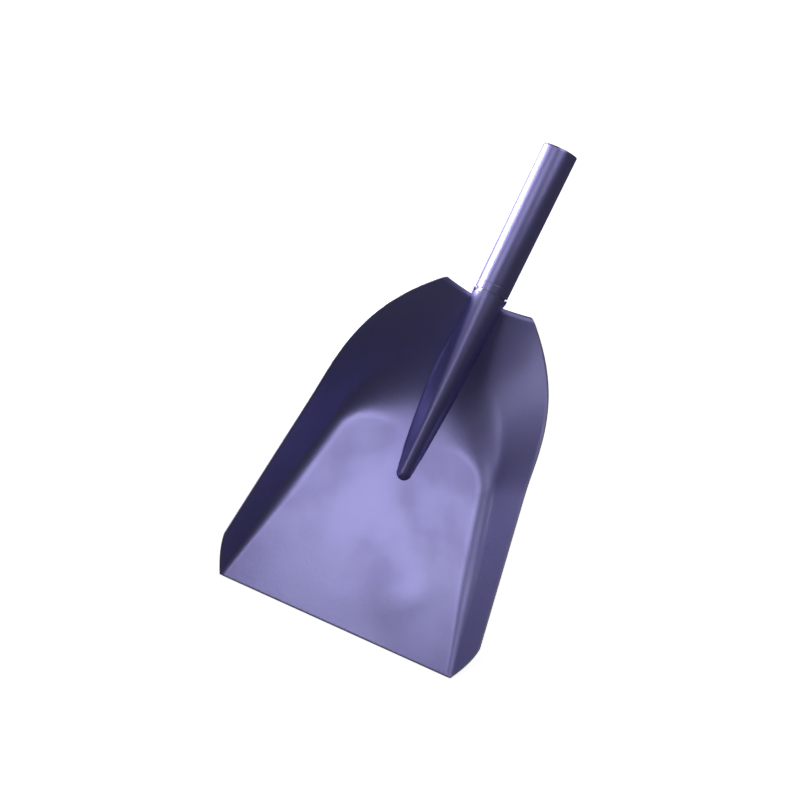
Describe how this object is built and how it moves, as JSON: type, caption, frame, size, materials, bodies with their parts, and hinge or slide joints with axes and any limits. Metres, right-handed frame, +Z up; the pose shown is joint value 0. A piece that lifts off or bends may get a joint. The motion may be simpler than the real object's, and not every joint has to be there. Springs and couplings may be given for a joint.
{
  "type": "grain scoop shovel head",
  "caption": "Pressed steel scoop pan with swept walls, clipped front corners and a centre rib that runs into a tapered tubular handle socket, in violet-blue enamel.",
  "frame": {"origin": "middle of the head's length and width, on the plane of the pan's flat underside", "axes": "+Y runs from the cutting edge to the socket's mouth, +Z is up out of the open pan, +X is across, to the right as seen from the cutting edge looking at the socket"},
  "size_m": [0.308, 0.565, 0.2035],
  "materials": {
    "pan": "satin violet-blue enamel over sheet steel",
    "socket": "satin violet-blue enamel over sheet steel",
    "edge_weld": "violet-blue enamel over weld metal",
    "tongue_weld_left": "violet-blue enamel over weld metal",
    "tongue_weld_right": "violet-blue enamel over weld metal",
    "flank_weld_left": "violet-blue enamel over weld metal",
    "flank_weld_right": "violet-blue enamel over weld metal",
    "seam_weld": "violet-blue enamel over weld metal"
  },
  "bodies": {
    "root": {"pan": "pan", "socket": "socket", "edge_weld": "edge_weld", "tongue_weld_left": "tongue_weld_left", "tongue_weld_right": "tongue_weld_right", "flank_weld_left": "flank_weld_left", "flank_weld_right": "flank_weld_right", "seam_weld": "seam_weld"}
  },
  "joints": []
}
